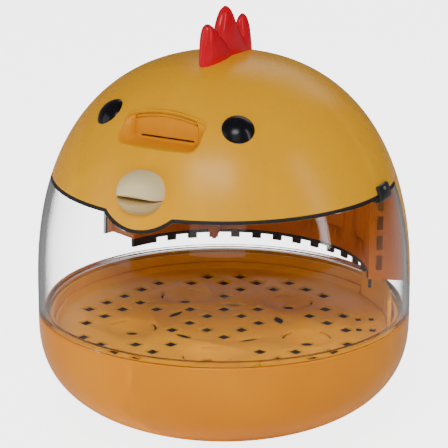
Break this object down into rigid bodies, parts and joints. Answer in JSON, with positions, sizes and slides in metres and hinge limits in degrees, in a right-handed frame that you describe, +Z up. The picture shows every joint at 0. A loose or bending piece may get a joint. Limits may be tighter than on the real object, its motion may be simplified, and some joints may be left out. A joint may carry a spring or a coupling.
{
  "type": "egg incubator",
  "caption": "Round tabletop egg incubator shaped like a chick: bowl base, clear window ring, lift-off yellow dome with comb, eyes and beak, rear heater housing and fan.",
  "frame": {"origin": "on the axis of the round body, on the surface that it stands on", "axes": "+Z up along the body's axis; the chick's face looks along -Y, so +X is the chick's left"},
  "size_m": [0.18, 0.18, 0.2048],
  "materials": {
    "base_yellow": "glossy warm yellow-orange ABS",
    "dome_yellow": "glossy bright yellow ABS",
    "clear_window": "clear polished styrene",
    "black_rubber": "soft black seal and foot rubber",
    "comb_red": "glossy red plastic",
    "eye_black": "high-gloss black",
    "beak_cream": "satin cream plastic",
    "catch_black": "black moulded plastic",
    "screw_steel": "plated steel",
    "duct_brown": "translucent amber-brown plastic",
    "fan_black": "black fan plastic",
    "heater_enamel": "brown enamelled tube",
    "clip_ceramic": "off-white ceramic",
    "lamp_white": "white diffuser",
    "panel_black": "black moulded panel",
    "display_lens": "dark red smoked lens",
    "button_white": "off-white plastic",
    "board_green": "green circuit board"
  },
  "bodies": {
    "base": {"base_shell": "base_yellow", "foot_ring": "black_rubber", "base_screws": "screw_steel", "base_liner": "base_yellow", "air_baffle": "dome_yellow"},
    "lid": {"window": "clear_window", "window_seal": "black_rubber", "dome_shell": "dome_yellow", "comb": "comb_red", "eye_left": "eye_black", "eye_right": "eye_black", "beak_upper": "beak_cream", "beak_lower": "beak_cream", "catch_left": "catch_black", "catch_right": "catch_black", "catch_pin_left": "screw_steel", "catch_pin_right": "screw_steel", "ceiling_plate": "duct_brown", "ceiling_screws": "screw_steel", "fan_frame": "fan_black", "fan_shaft": "screw_steel", "heater_ring": "heater_enamel", "heater_clips": "clip_ceramic", "rear_cover": "dome_yellow", "rear_duct": "duct_brown", "air_grille": "catch_black", "sensor_tip": "duct_brown", "chamber_lamp": "lamp_white", "panel_bezel": "panel_black", "display_lens": "display_lens", "control_board": "board_green", "board_switches": "catch_black", "board_screws": "screw_steel", "power_socket": "catch_black", "socket_pin": "screw_steel"},
    "egg_tray": {"egg_tray": "base_yellow"},
    "fan": {"fan_rotor": "fan_black"},
    "minus_button": {"button_minus": "button_white"},
    "set_button": {"button_set": "button_white"},
    "plus_button": {"button_plus": "button_white"}
  },
  "joints": [
    {"name": "lid_lift", "type": "slide", "parent": "base", "child": "lid", "axis": [0, 0, 1], "range_m": [0, 0.14]},
    {"name": "tray_lift", "type": "slide", "parent": "base", "child": "egg_tray", "axis": [0, 0, 1], "range_m": [0, 0.016]},
    {"name": "fan_spin", "type": "hinge", "parent": "lid", "child": "fan", "pos_m": [0, 0, 0.132], "axis": [0, 0, 1], "continuous": true},
    {"name": "minus_press", "type": "slide", "parent": "lid", "child": "minus_button", "axis": [0, -1, 0], "range_m": [0, 0.0008], "stiffness_N_per_m": 400, "springref_m": -0.0004},
    {"name": "set_press", "type": "slide", "parent": "lid", "child": "set_button", "axis": [0, -1, 0], "range_m": [0, 0.0008], "stiffness_N_per_m": 400, "springref_m": -0.0004},
    {"name": "plus_press", "type": "slide", "parent": "lid", "child": "plus_button", "axis": [0, -1, 0], "range_m": [0, 0.0008], "stiffness_N_per_m": 400, "springref_m": -0.0004}
  ]
}
